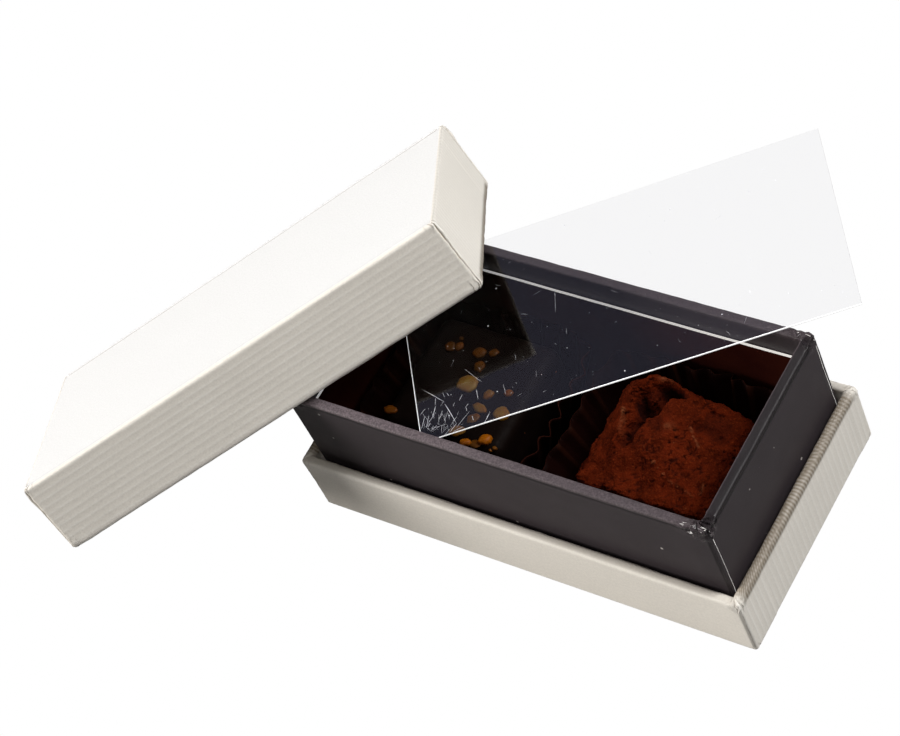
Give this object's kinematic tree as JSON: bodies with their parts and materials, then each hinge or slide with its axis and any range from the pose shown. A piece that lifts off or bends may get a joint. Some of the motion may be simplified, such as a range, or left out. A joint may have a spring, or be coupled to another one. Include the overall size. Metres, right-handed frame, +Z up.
{
  "type": "shoulder gift box with two chocolates",
  "caption": "Open rigid paper-covered shoulder box: tray with raised black neck, ribbed cream lid leaning on it, slanted clear sheet, and chocolates in pleated cups.",
  "frame": {"origin": "middle of the tray's underside, where the box rests on a table", "axes": "+Z up, +X along the tray's length towards the end that the lid leaves open, +Y from the front wall to the back wall"},
  "size_m": [0.1625, 0.1198, 0.0603],
  "materials": {
    "greyboard": "matte grey-brown board",
    "ribbed_paper": "cream paper with fine embossed ribs, matte",
    "tape": "thin brown paper tape",
    "lining_paper": "smooth white lining paper",
    "black_paper": "charcoal black paper, matte with a faint sheen",
    "dark_card": "dark brown card with a white core at its cut edge",
    "cup_paper": "pleated brown baking paper, slightly glossy",
    "dark_chocolate": "dark chocolate coating, satin",
    "cocoa": "dry red-brown cocoa dust over a rough ganache",
    "nuts": "chopped candied nuts, golden orange",
    "clear_film": "clear plastic sheet with bright cut edges, lightly scratched"
  },
  "bodies": {
    "box": {"tray_board": "greyboard", "tray_wrap": "ribbed_paper", "tray_corner_tapes": "tape", "tray_lining": "lining_paper", "neck_board": "greyboard", "neck_wrap": "black_paper", "neck_corner_tapes": "tape", "card_tray": "dark_card", "cup_left": "cup_paper", "cup_right": "cup_paper", "chocolate_left": "dark_chocolate", "truffle_right": "cocoa", "nut_pieces": "nuts"},
    "sheet": {"clear_sheet": "clear_film"},
    "lid": {"lid_board": "greyboard", "lid_wrap": "ribbed_paper", "lid_corner_tapes": "tape", "lid_lining": "lining_paper"}
  },
  "joints": [
    {"name": "lid_lift", "type": "slide", "parent": "box", "child": "lid", "axis": [0, 0, 1], "range_m": [0, 0.06]},
    {"name": "sheet_draw", "type": "slide", "parent": "box", "child": "sheet", "axis": [0.8131, 0.5761, 0.0838], "range_m": [0, 0.09]}
  ]
}
